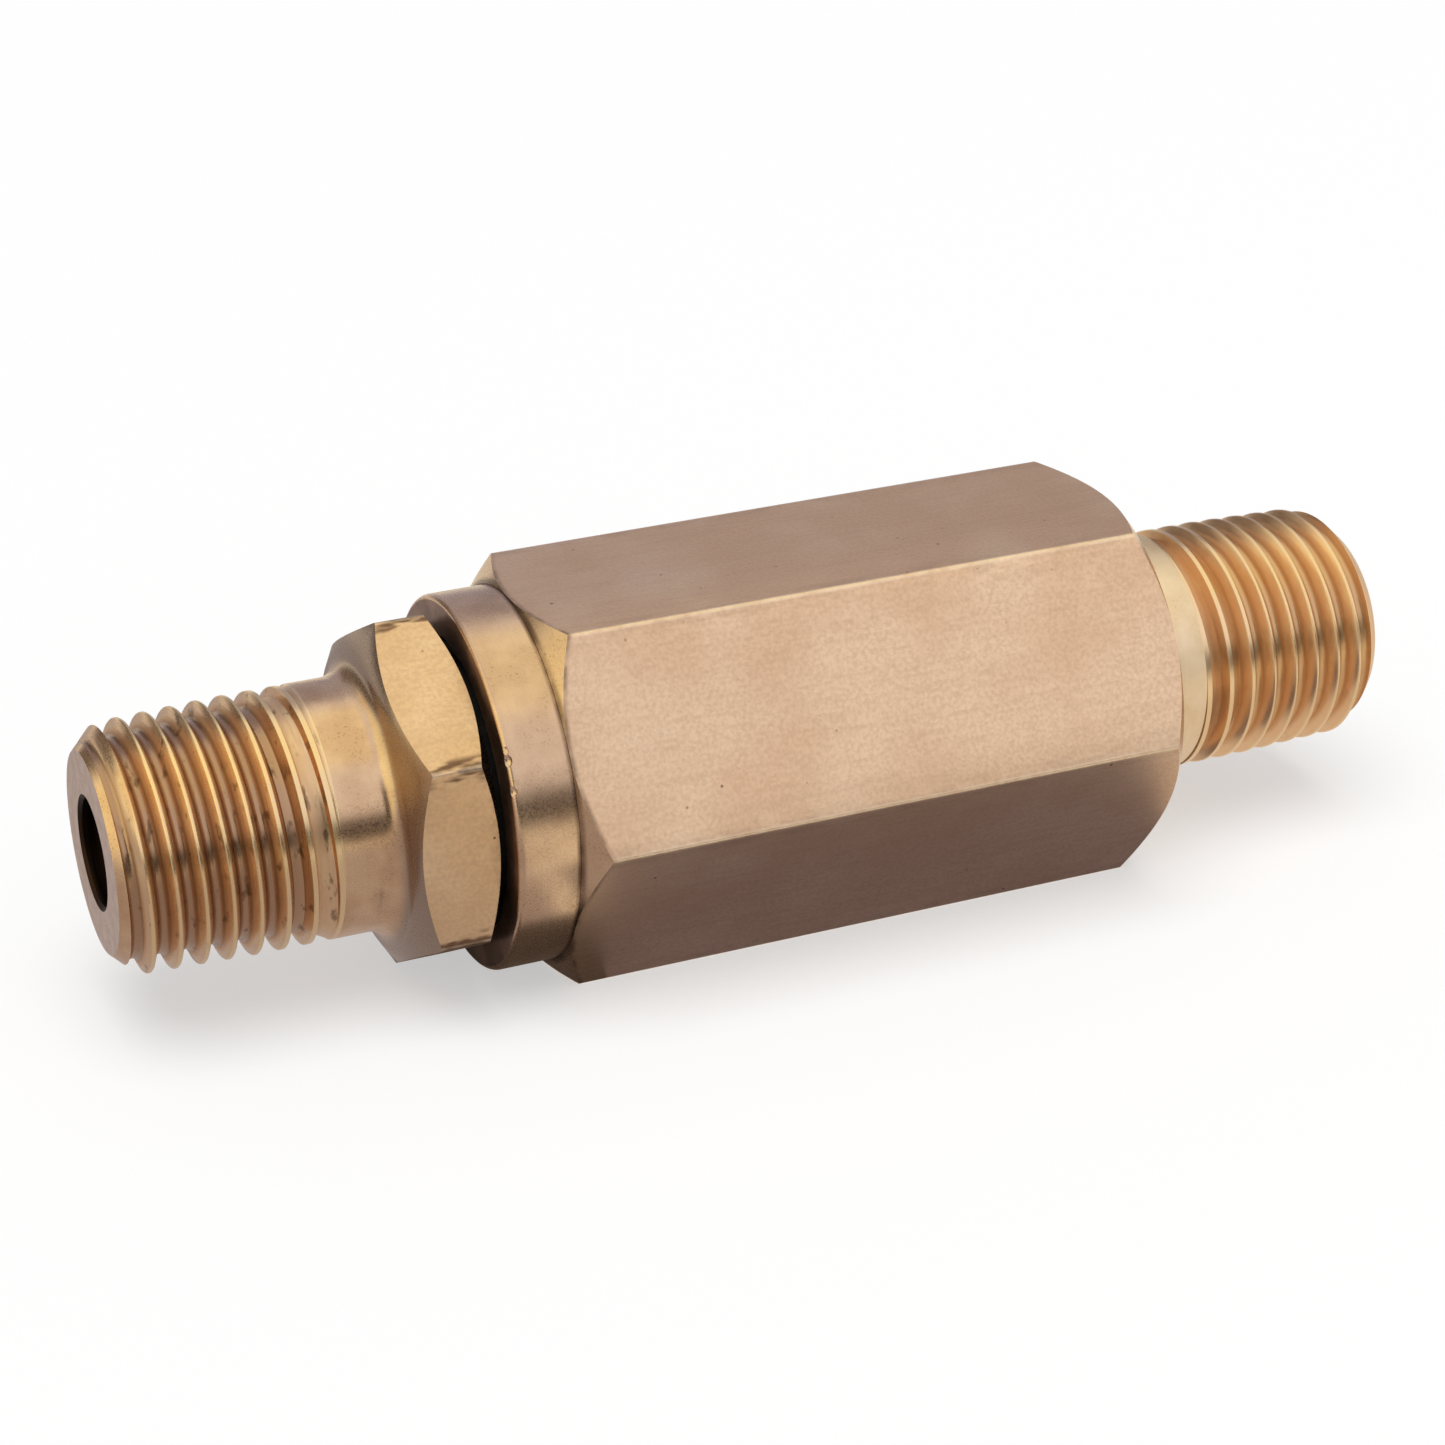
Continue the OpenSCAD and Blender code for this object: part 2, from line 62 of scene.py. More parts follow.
# Pipe thread, in millimetres
PIPE_R = 6.86
PIPE_CREST_R = 6.62
PIPE_PITCH = 1.411
PIPE_DEPTH = 0.9
PIPE_FLAT = 0.1
PIPE_SLOPE = 1 / 32
PIPE_TAPERED = 7.7  # length over which the crests grow from PIPE_CREST_R to PIPE_R
END_FACE_R = 5.41
EASE_LENGTH = 0.07  # how far a crest's edge is eased along the axis
EASE_DEPTH = 0.06  # and how far inwards
ROOT_ROUND = 0.36  # radius at the bottom of a thread
ROOT_MEETS = -156  # angle in degrees at which a flank runs into that round

# Stem, in millimetres
INLET_THREAD = 11.2
INLET_CREST = 6.7  # from the thread's small end to a crest on top
STEM_NECK = 2.25
NECK_FILLET = 1.3
STEM_HEX_AF = 17.46
STEM_HEX_LENGTH = 4.5
STEM_HEX_TURN = 29.2  # degrees
LAND_R = 6.0
STOP_GROOVE = 0.6  # depth of the stop clip's groove
SCREW_FROM = 1.825  # from the end of the stop groove
SCREW_TO = 8.625
SCREW_R = 6.2
SCREW_CORE_R = 5.5
SCREW_END_R = 5.9
SCREW_PITCH = 1.0
SCREW_DEPTH = 0.4
SCREW_FLAT = 0.12
NOSE_R = 4.4
INLET_BORE = 18
GALLERY_R = 2.5
GALLERY_PAST_SCREW = 3.3
CROSS_PORT_R = 1.2
CROSS_PORTS_PAST_SCREW = 1.8
SOCKET_R = 3.05  # hole in the nose for the needle's head
WEB = 1  # metal left between the gallery and that hole

# Body, in millimetres
COLLAR_R = 10.25
COLLAR_LENGTH = 3.35
RIM_ROUND = 0.35
RIM_NICKS = ((22, 0.12), (31, 0.16), (34, 0.08), (141, 0.1), (262, 0.14))  # angle in degrees, and depth
KNOCK_R = 0.45  # radius of the ball that shapes a nick
BODY_HEX_AF = 20.64
BODY_HEX_LENGTH = 35.3
BODY_CHAMFER = math.tan(math.radians(37))  # length of the end chamfer for each millimetre of radius
HEX_START = MOUTH + COLLAR_LENGTH
HEX_END = HEX_START + BODY_HEX_LENGTH
NECK_CORNER = 0.4  # rounded corner between the hexagon's end and the neck
OUTLET_THREAD = 11.6
OUTLET_CREST = 0.71  # from the thread's small end to a crest on top
MOUTH_CHAMFER = 0.25
STOP_ROOM = 0.3  # round the stop clip, which turns with the stem
SCREW_BORE_FROM = 1.75  # from the end of the stop clip
SCREW_BORE = 7.7
SCREW_BORE_R = 6.25
PASSAGE_R = 2.6
PASSAGE_PAST_NEEDLE = 0.8

# Stem and body alike, in millimetres
BORE_R = 2.9
BORE_CHAMFER = 0.2
EDGE_ROUND = 0.12  # on the long edges of hexagon bar
PAST_CORNER = 0.2  # how far a turned blank stands past the hexagon's corners
CLIP_SLACK = 0.025  # room on each side of a clip in its groove
SLIP = 0.03  # room round a piece in its bore

# Telling one face from another, in millimetres
NEAR = 0.02  # as good as at a place
LEVEL = 0.01  # as good as on a hexagon's flat, and the most that a flat's normal may lean
PAST_THREAD = 0.3  # how far a thread's finish runs past its length
SHARP = math.radians(31)  # edges that turn by more than this stay sharp

CARD_GAP = 0.02 * MM  # between cards that lie on each other

BREAKUP = 0.55  # how strongly each finer layer of a noise pattern shows


# ---- Shaping ----------------------------------------------------------------------------------------

def pick(piece):
    """Makes one piece the only one selected."""
    bpy.ops.object.select_all(action="DESELECT")
    piece.select_set(True)
    bpy.context.view_layer.objects.active = piece


def apply_place(piece):
    """Puts a piece's place and turn into its mesh."""
    pick(piece)
    bpy.ops.object.transform_apply(location=True, rotation=True, scale=True)


def edit(kind="VERT"):
    """Opens the active piece for editing by its vertices or its edges."""
    bpy.context.tool_settings.mesh_select_mode = (kind == "VERT", kind == "EDGE", False)
    bpy.ops.object.mode_set(mode="EDIT")


def close_up():
    """Merges what meets and turns every face outwards, in edit mode."""
    bpy.ops.mesh.select_all(action="SELECT")
    bpy.ops.mesh.remove_doubles(threshold=MERGE)
    bpy.ops.mesh.normals_make_consistent(inside=False)


def draw(name, points):
    """Draws a line through (place, radius) points in millimetres, by extruding one vertex."""
    steps = [Vector((x, 0, r)) * MM for x, r in points]
    bpy.ops.object.select_all(action="DESELECT")
    bpy.ops.mesh.primitive_plane_add(size=MM)
    piece = bpy.context.object
    piece.name = name
    edit()
    bpy.ops.mesh.select_all(action="SELECT")
    bpy.ops.mesh.merge(type="CENTER")
    bpy.ops.transform.translate(value=steps[0])
    for before, after in zip(steps, steps[1:]):
        bpy.ops.mesh.extrude_vertices_move(TRANSFORM_OT_translate={"value": after - before})
    bpy.ops.object.mode_set(mode="OBJECT")
    return piece


def turned(name, points):
    """A solid turned round the axis from an outline that starts and ends on it."""
    piece = draw(name, points)
    edit()
    bpy.ops.mesh.select_all(action="SELECT")
    bpy.ops.mesh.spin(steps=SIDES, angle=math.tau, center=(0, 0, 0), axis=(1, 0, 0))
    close_up()
    bpy.ops.object.mode_set(mode="OBJECT")
    return piece


def rounded(x, r, radius, start, end, steps=6):
    """Outline points of an arc round (x, r), between two angles in degrees from +X towards the rim."""
    angles = [math.radians(start + (end - start) * i / steps) for i in range(steps + 1)]
    return [(x + radius * math.cos(a), r + radius * math.sin(a)) for a in angles]


def hexagon_bar(name, start, end, across_flats, edge_round, turn=0.0):
    """Hexagon bar along X, with its six long edges a little rounded."""
    bpy.ops.object.select_all(action="DESELECT")
    bpy.ops.mesh.primitive_cylinder_add(
        vertices=6, radius=across_flats / math.sqrt(3) * MM, depth=(end - start) * MM,
        location=((start + end) / 2 * MM, 0, 0), rotation=(0, math.pi / 2, 0))
    bar = bpy.context.object
    bar.name = name
    apply_place(bar)
    mesh = bar.data
    for edge in mesh.edges:
        a, b = (mesh.vertices[i].co for i in edge.vertices)
        edge.select = abs(a.x - b.x) > MM
    for part in (*mesh.vertices, *mesh.polygons):
        part.select = False
    edit("EDGE")
    bpy.ops.mesh.bevel(offset=edge_round * MM, segments=3, affect="EDGES")
    close_up()
    bpy.ops.object.mode_set(mode="OBJECT")
    bar.rotation_euler.x = math.radians(turn)
    apply_place(bar)
    return bar


def combine(piece, tool, operation):
    """Joins, trims or cuts a piece with a tool, which is used up."""
    pick(piece)
    cut = piece.modifiers.new(operation.title(), "BOOLEAN")
    cut.operation = operation
    cut.object = tool
    cut.solver = "EXACT"
    bpy.ops.object.modifier_apply(modifier=cut.name)
    bpy.data.objects.remove(tool)
    edit()
    close_up()
    bpy.ops.object.mode_set(mode="OBJECT")
    return piece


def nick(piece, angle, depth):
    """A small dent where the collar's rounded rim was knocked, at an angle in degrees from -Y upwards."""
    around = math.radians(angle)
    reach = (RIM_ROUND + KNOCK_R - depth) / math.sqrt(2)
    out = COLLAR_R - RIM_ROUND + reach
    bpy.ops.object.select_all(action="DESELECT")
    bpy.ops.mesh.primitive_uv_sphere_add(
        segments=16, ring_count=8, radius=KNOCK_R * MM,
        location=((MOUTH + RIM_ROUND - reach) * MM, -out * math.cos(around) * MM,
                  out * math.sin(around) * MM))
    combine(piece, bpy.context.object, "DIFFERENCE")


def close_end(piece, side, apex):
    """Closes one open end of a threaded tube to a point on the axis."""
    mesh = piece.data
    middle = sum(corner[0] for corner in piece.bound_box) / 8
    edit("EDGE")
    bpy.ops.mesh.select_all(action="DESELECT")
    bpy.ops.mesh.select_non_manifold()
    bpy.ops.object.mode_set(mode="OBJECT")
    for edge in mesh.edges:
        if (mesh.vertices[edge.vertices[0]].co.x - middle) * side < 0:
            edge.select = False
    for vertex in mesh.vertices:
        if (vertex.co.x - middle) * side < 0:
            vertex.select = False
    edit("EDGE")
    bpy.ops.mesh.extrude_edges_move(TRANSFORM_OT_translate={"value": (0, 0, 0)})
    bpy.ops.transform.resize(value=(0, 0, 0), center_override=(apex * MM, 0, 0))
    close_up()
    bpy.ops.object.mode_set(mode="OBJECT")


def helix(name, length, crest_r, pitch, depth, flat, crest_at, slope=0.0):
    """Right-hand thread on a rod from zero to length, with ends still to be trimmed. One pitch of its
    section is drawn with the crest at crest_at on top, screwed round the axis, closed, and tapered."""
    root_r = crest_r - depth
    spare = 2 * pitch
    start = crest_at % pitch - spare
    turns = math.ceil((length + 2 * spare) / pitch)
    half = [(flat / 2, crest_r), (flat / 2 + EASE_LENGTH, crest_r - EASE_DEPTH),
            *rounded(pitch / 2, root_r + ROOT_ROUND, ROOT_ROUND, ROOT_MEETS, -90, 5)]
    rod = draw(name, [*[(start - x, r) for x, r in reversed(half)], *[(start + x, r) for x, r in half]])
    screw = rod.modifiers.new("Screw", "SCREW")
    screw.axis = "X"
    screw.angle = math.tau
    screw.screw_offset = pitch * MM
    screw.iterations = turns
    screw.steps = screw.render_steps = SIDES
    bpy.ops.object.modifier_apply(modifier=screw.name)
    edit()
    close_up()
    bpy.ops.object.mode_set(mode="OBJECT")
    close_end(rod, -1, start - pitch)
    close_end(rod, 1, start + (turns + 1) * pitch)
    if slope:
        taper = rod.modifiers.new("Taper", "SIMPLE_DEFORM")
        taper.deform_method = "TAPER"
        taper.deform_axis = "X"
        taper.factor = slope / crest_r * rod.dimensions.x / MM
        bpy.ops.object.modifier_apply(modifier=taper.name)
    return rod


def pipe_thread(name, length, crest_at):
    """Male taper pipe thread from its small end at zero, with a 45 degree chamfer there and its crests cut
    down to the neck."""
    thread = helix(name, length, PIPE_CREST_R, PIPE_PITCH, PIPE_DEPTH, PIPE_FLAT, crest_at, PIPE_SLOPE)
    chamfer = PIPE_R - END_FACE_R
    end = length + 0.5
    blank = turned("blank", [(0, 0), (0, END_FACE_R), (chamfer, PIPE_R), (end, PIPE_R - 0.01), (end, 0)])
    return combine(thread, blank, "INTERSECT")


def run_out(length):
    """Outline of the bar inside a pipe thread, whose grooves grow shallow towards the neck."""
    return [(length / 2, 0), (length / 2, 5.3), (length - 3.6, 5.88), (length - 1.8, 6.1),
            (length - 0.6, 6.38), (length + 0.3, PIPE_R)]


def hollow_stem():
    """Stem: inlet thread, neck, adjusting hexagon, land, stop groove, adjusting screw and nose."""
    hex_start = INLET_THREAD + STEM_NECK + NECK_FILLET
    hex_end = hex_start + STEM_HEX_LENGTH
    front_r = PIPE_R + NECK_FILLET
    back_r = STEM_HEX_AF / 2
    rim_r = STEM_HEX_AF / math.sqrt(3) + PAST_CORNER
    chamfer = math.tan(math.radians(30))
    clip_low, clip_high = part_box("stop_clip")
    groove_start = clip_low.x / MM - CLIP_SLACK - INLET_FACE
    groove_end = clip_high.x / MM + CLIP_SLACK - INLET_FACE
    groove_r = LAND_R - STOP_GROOVE
    screw_start = groove_end + SCREW_FROM
    screw_end = groove_end + SCREW_TO
    nose_end = NOSE_END - INLET_FACE
    outline = [
        *run_out(INLET_THREAD),
        *rounded(INLET_THREAD + STEM_NECK, front_r, NECK_FILLET, -90, 0, 10),
        (hex_start + (rim_r - front_r) * chamfer, rim_r), (hex_end - (rim_r - back_r) * chamfer, rim_r),
        (hex_end, back_r), (hex_end, LAND_R),
        (groove_start, LAND_R), (groove_start, groove_r), (groove_end, groove_r), (groove_end, LAND_R),
        (screw_start, LAND_R), (screw_start, SCREW_CORE_R), (screw_end - 1, SCREW_CORE_R),
        (screw_end - 0.5, NOSE_R), (nose_end, NOSE_R), (nose_end, 0)]
    stem = turned("stem_turning", [(INLET_FACE + x, r) for x, r in outline])
    bar = hexagon_bar("bar", INLET_FACE, NOSE_END + OVER, STEM_HEX_AF, EDGE_ROUND, STEM_HEX_TURN)
    combine(stem, bar, "INTERSECT")

    thread = pipe_thread("thread", INLET_THREAD, INLET_CREST)
    thread.location.x = INLET_FACE * MM
    apply_place(thread)
    combine(stem, thread, "UNION")

    screw_length = screw_end - screw_start
    screw = helix("screw", screw_length, SCREW_R, SCREW_PITCH, SCREW_DEPTH, SCREW_FLAT, 0.4)
    ends = turned("ends", [
        (-0.2, 0), (-0.2, SCREW_END_R - 0.2), (0.1, SCREW_END_R), (0.4, SCREW_R),
        (screw_length - 0.3, SCREW_R), (screw_length, SCREW_END_R), (screw_length, 0)])
    combine(screw, ends, "INTERSECT")
    screw.location.x = (INLET_FACE + screw_start) * MM
    apply_place(screw)
    combine(stem, screw, "UNION")

    gallery_end = screw_end + GALLERY_PAST_SCREW
    bore = turned("bore", [(INLET_FACE + x, r) for x, r in (
        (-OVER, 0), (-OVER, BORE_R + BORE_CHAMFER + OVER), (BORE_CHAMFER, BORE_R), (INLET_BORE, BORE_R),
        (INLET_BORE, GALLERY_R), (gallery_end, GALLERY_R), (gallery_end, 0))])
    combine(stem, bore, "DIFFERENCE")
    clip_low, clip_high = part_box("needle_clip")
    clip_r = clip_high.z / MM + SLIP
    clip_start = clip_low.x / MM - CLIP_SLACK
    clip_end = clip_high.x / MM + CLIP_SLACK
    socket_start = INLET_FACE + gallery_end + WEB
    socket = turned("socket", [
        (socket_start, 0), (socket_start, SOCKET_R), (clip_start, SOCKET_R), (clip_start, clip_r),
        (clip_end, clip_r), (clip_end, SOCKET_R), (NOSE_END + OVER, SOCKET_R), (NOSE_END + OVER, 0)])
    combine(stem, socket, "DIFFERENCE")
    for turn in (0, math.pi / 2):
        bpy.ops.object.select_all(action="DESELECT")
        bpy.ops.mesh.primitive_cylinder_add(
            vertices=48, radius=CROSS_PORT_R * MM, depth=4 * LAND_R * MM,
            location=((INLET_FACE + screw_end + CROSS_PORTS_PAST_SCREW) * MM, 0, 0), rotation=(turn, 0, 0))
        combine(stem, bpy.context.object, "DIFFERENCE")
    return stem


def valve_body():
    """Body: collar, long hexagon, neck and outlet thread, bored in steps for the pieces inside."""
    flat_r = BODY_HEX_AF / 2
    rim_r = BODY_HEX_AF / math.sqrt(3) + PAST_CORNER
    chamfer = (rim_r - flat_r) * BODY_CHAMFER
    body = turned("body_turning", [
        (MOUTH, 0), *rounded(MOUTH + RIM_ROUND, COLLAR_R - RIM_ROUND, RIM_ROUND, 180, 90),
        (HEX_START, COLLAR_R), (HEX_START, flat_r), (HEX_START + chamfer, rim_r),
        (HEX_END - chamfer, rim_r), (HEX_END, flat_r), (HEX_END, PIPE_R + NECK_CORNER),
        *rounded(HEX_END + NECK_CORNER, PIPE_R + NECK_CORNER, NECK_CORNER, 180, 270, 4),
        *[(OUTLET_FACE - x, r) for x, r in reversed(run_out(OUTLET_THREAD))]])
    bar = hexagon_bar("bar", MOUTH - OVER, OUTLET_FACE, BODY_HEX_AF, EDGE_ROUND)
    combine(body, bar, "INTERSECT")

    thread = pipe_thread("thread", OUTLET_THREAD, OUTLET_CREST)
    thread.location.x = OUTLET_FACE * MM
    thread.rotation_euler.z = math.pi
    apply_place(thread)
    combine(body, thread, "UNION")

    gland_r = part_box("gland_ring")[1].z / MM + SLIP
    clip_low, clip_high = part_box("gland_circlip")
    stop_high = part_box("stop_clip")[1]
    seat_low, seat_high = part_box("seat_ring")
    screw_bore = stop_high.x / MM + SCREW_BORE_FROM
    steps = [
        (clip_low.x / MM - CLIP_SLACK, gland_r),
        (clip_high.x / MM + CLIP_SLACK, clip_high.z / MM + SLIP),
        (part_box("support_ring")[1].x / MM, gland_r),
        (screw_bore, stop_high.z / MM + STOP_ROOM),
        (screw_bore + SCREW_BORE, SCREW_BORE_R),
        (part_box("guide_bush")[1].x / MM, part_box("guide_bush")[1].z / MM + SLIP),
        (seat_low.x / MM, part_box("seat_retainer")[1].z / MM + SLIP),
        (seat_high.x / MM, seat_high.z / MM + SLIP),
        (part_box("needle")[1].x / MM + PASSAGE_PAST_NEEDLE, PASSAGE_R),
        (OUTLET_FACE - BORE_CHAMFER, BORE_R)]
    outline = [
        (MOUTH - OVER, 0), (MOUTH - OVER, gland_r + MOUTH_CHAMFER + OVER), (MOUTH + MOUTH_CHAMFER, gland_r)]
    for (end, r), (_, next_r) in zip(steps, [*steps[1:], (0, BORE_R)]):
        outline += [(end, r), (end, next_r)] if next_r != r else [(end, r)]
    outline += [(OUTLET_FACE + OVER, BORE_R + BORE_CHAMFER + OVER), (OUTLET_FACE + OVER, 0)]
    combine(body, turned("bore", outline), "DIFFERENCE")
    for angle, depth in RIM_NICKS:
        nick(body, angle, depth)
    return body


# ---- Materials --------------------------------------------------------------------------------------

def colour(code):
    """An sRGB hex colour as linear RGBA."""
    parts = [int(code[i:i + 2], 16) / 255 for i in (1, 3, 5)]
    return (*[c / 12.92 if c <= 0.04045 else ((c + 0.055) / 1.055) ** 2.4 for c in parts], 1.0)


def add(tree, kind, inputs=(), **settings):
    """Adds a shader node with its settings and links. Each input, by name or by place, takes another node's
    output, a number or a hex colour. A setting that isn't one of the node's own properties is the value of
    that input."""
    node = tree.nodes.new("ShaderNode" + kind)
    for name, value in settings.items():
        if hasattr(node, name):
            setattr(node, name, value)
        else:
            node.inputs[name.replace("_", " ")].default_value = value
    for name, value in dict(inputs).items():
        if isinstance(value, bpy.types.NodeSocket):
            tree.links.new(value, node.inputs[name])
        else:
            node.inputs[name].default_value = colour(value) if isinstance(value, str) else value
    return node


def empty_material(name):
    """A material without nodes, and the tree to add them to."""
    material = bpy.data.materials.new(name)
    material.use_nodes = True
    material.node_tree.nodes.clear()
    return material, material.node_tree


def measured_material(name):
    """A material without a shader yet, its tree, and the position in millimetres."""
    material, tree = empty_material(name)
    place = add(tree, "TexCoord").outputs["Object"]
    return material, tree, add(tree, "Mapping", {"Vector": place}, Scale=(1000, 1000, 1000)).outputs[0]


def from_axis(tree, mm):
    """The distance from the valve's axis, in millimetres."""
    across = add(tree, "Mapping", {"Vector": mm}, Scale=(0, 1, 1)).outputs[0]
    return add(tree, "VectorMath", {0: across}, operation="LENGTH").outputs["Value"]


def surface(tree, base, rough, height=None, relief=0.0, **settings):
    """The shader and its output, with the height in millimetres of relief as bump."""
    links = {"Base Color": base, "Roughness": rough}
    if height is not None:
        bump = add(tree, "Bump", {"Height": height}, Strength=1.0, Distance=relief * MM)
        links["Normal"] = bump.outputs[0]
    shader = add(tree, "BsdfPrincipled", links, **settings)
    add(tree, "OutputMaterial", {"Surface": shader.outputs[0]})


def drawn_bar_flats(name, light, dark, across_flats, worn, bruised, front=None):
    """Drawn brass bar, dulled by handling: a matt beige with fine grain, small dark pits, and long edges
    worn pale beside a spanner's bruises. worn and bruised say how strongly, from 0 to 1. A dark line may
    run along the curved edge of the chamfer that starts at front."""
    material, tree, mm = measured_material(name)
    radius = from_axis(tree, mm)
    corner_r = across_flats / math.sqrt(3)
    # Real grain and die lines are a few hundredths of a millimetre wide and wouldn't show, so these are
    # coarser.
    cloud = add(tree, "TexNoise", {
        "Vector": mm, "Scale": 1 / 7.0, "Detail": 3.0, "Roughness": BREAKUP}).outputs[0]
    grain = add(tree, "TexNoise", {
        "Vector": mm, "Scale": 1 / 0.22, "Detail": 2.0, "Roughness": BREAKUP}).outputs[0]
    streak = add(tree, "TexNoise", {
        "Vector": add(tree, "Mapping", {"Vector": mm, "Scale": (1 / 14, 1, 1)}).outputs[0],
        "Scale": 1 / 0.35, "Detail": 2.0, "Roughness": BREAKUP}).outputs[0]
    base = add(tree, "Mix", {
        0: add(tree, "MapRange", {
            "Value": cloud, "From Min": 0.35,
            "From Max": 0.65}, interpolation_type="SMOOTHSTEP").outputs[0],
        6: dark, 7: light}, data_type="RGBA").outputs[2]
    base = add(tree, "Mix", {
        0: add(tree, "MapRange", {
            "Value": grain, "From Min": 0.3, "From Max": 0.75, "To Min": 0.0,
            "To Max": 0.3}, interpolation_type="SMOOTHSTEP").outputs[0],
        6: base, 7: "#BC9A80"}, data_type="RGBA").outputs[2]
    base = add(tree, "Mix", {
        0: add(tree, "MapRange", {
            "Value": streak, "From Min": 0.45, "From Max": 0.7, "To Min": 0.0,
            "To Max": 0.2}, interpolation_type="SMOOTHSTEP").outputs[0],
        6: base, 7: "#C9A68A"}, data_type="RGBA").outputs[2]
    pits = add(tree, "TexVoronoi", {"Vector": mm}, Scale=0.8).outputs["Distance"]
    pit_mask = add(tree, "Math", {
        0: add(tree, "MapRange", {
            "Value": pits, "From Min": 0.03, "From Max": 0.1, "To Min": 1.0,
            "To Max": 0.0}, interpolation_type="SMOOTHSTEP").outputs[0],
        1: add(tree, "MapRange", {
            "Value": add(tree, "TexNoise", {
                "Vector": mm, "Scale": 1 / 3.0, "Detail": 3.0, "Roughness": BREAKUP}).outputs[0],
            "From Min": 0.5,
            "From Max": 0.6
        }, interpolation_type="SMOOTHSTEP").outputs[0]}, operation="MULTIPLY").outputs[0]
    base = add(tree, "Mix", {0: pit_mask, 6: base, 7: "#6E4F40"}, data_type="RGBA").outputs[2]
    beside = add(tree, "Math", {
        0: add(tree, "MapRange", {
            "Value": radius, "From Min": corner_r - 0.45,
            "From Max": corner_r - 0.25}, interpolation_type="SMOOTHSTEP").outputs[0],
        1: add(tree, "MapRange", {
            "Value": add(tree, "TexNoise", {
                "Vector": add(tree, "Mapping", {"Vector": mm, "Scale": (1 / 3, 1, 1)}).outputs[0],
                "Scale": 1 / 0.7, "Detail": 2.0, "Roughness": BREAKUP}).outputs[0],
            "From Min": 0.45, "From Max": 0.6, "To Min": 0.0,
            "To Max": bruised
        }, interpolation_type="SMOOTHSTEP").outputs[0]}, operation="MULTIPLY").outputs[0]
    base = add(tree, "Mix", {0: beside, 6: base, 7: "#6B4E3E"}, data_type="RGBA").outputs[2]
    edge = add(tree, "Math", {
        0: add(tree, "MapRange", {
            "Value": radius, "From Min": corner_r - 0.12,
            "From Max": corner_r - 0.06}, interpolation_type="SMOOTHSTEP").outputs[0],
        1: add(tree, "MapRange", {
            "Value": add(tree, "TexNoise", {
                "Vector": mm, "Scale": 1 / 0.9, "Detail": 3.0, "Roughness": BREAKUP}).outputs[0],
            "From Min": 0.3, "From Max": 0.6, "To Min": 0.4 * worn,
            "To Max": worn}, interpolation_type="SMOOTHSTEP").outputs[0]}, operation="MULTIPLY").outputs[0]
    base = add(tree, "Mix", {0: edge, 6: base, 7: "#F2DCC4"}, data_type="RGBA").outputs[2]
    if front is not None:
        rise = add(tree, "Math", {
            0: add(tree, "Math", {0: radius, 1: across_flats / 2}, operation="SUBTRACT").outputs[0],
            1: BODY_CHAMFER}, operation="MULTIPLY").outputs[0]
        behind = add(tree, "Math", {
            0: add(tree, "Math", {
                0: add(tree, "SeparateXYZ", {"Vector": mm}).outputs[0],
                1: front}, operation="SUBTRACT").outputs[0],
            1: rise}, operation="SUBTRACT").outputs[0]
        lined = add(tree, "Math", {
            0: add(tree, "MapRange", {
                "Value": behind, "From Min": 0.34,
                "From Max": 0.04}, interpolation_type="SMOOTHSTEP").outputs[0],
            1: add(tree, "MapRange", {
                "Value": add(tree, "TexNoise", {
                    "Vector": mm, "Scale": 1 / 1.4, "Detail": 1.0, "Roughness": BREAKUP}).outputs[0],
                "From Min": 0.36, "From Max": 0.64, "To Min": 0.2,
                "To Max": 0.62
            }, interpolation_type="SMOOTHSTEP").outputs[0]}, operation="MULTIPLY").outputs[0]
        base = add(tree, "Mix", {0: lined, 6: base, 7: "#5A4030"}, data_type="RGBA").outputs[2]
    rough = add(tree, "MapRange", {
        "Value": grain, "From Min": 0.3, "From Max": 0.7, "To Min": 0.38,
        "To Max": 0.46}, interpolation_type="SMOOTHSTEP").outputs[0]
    height = add(tree, "Math", {
        0: add(tree, "Math", {0: grain, 1: 0.6}, operation="MULTIPLY").outputs[0],
        1: add(tree, "Math", {
            0: streak, 1: 0.4}, operation="MULTIPLY").outputs[0]}, operation="ADD").outputs[0]
    surface(tree, base, rough, height, 0.01, Metallic=1.0)
    return material


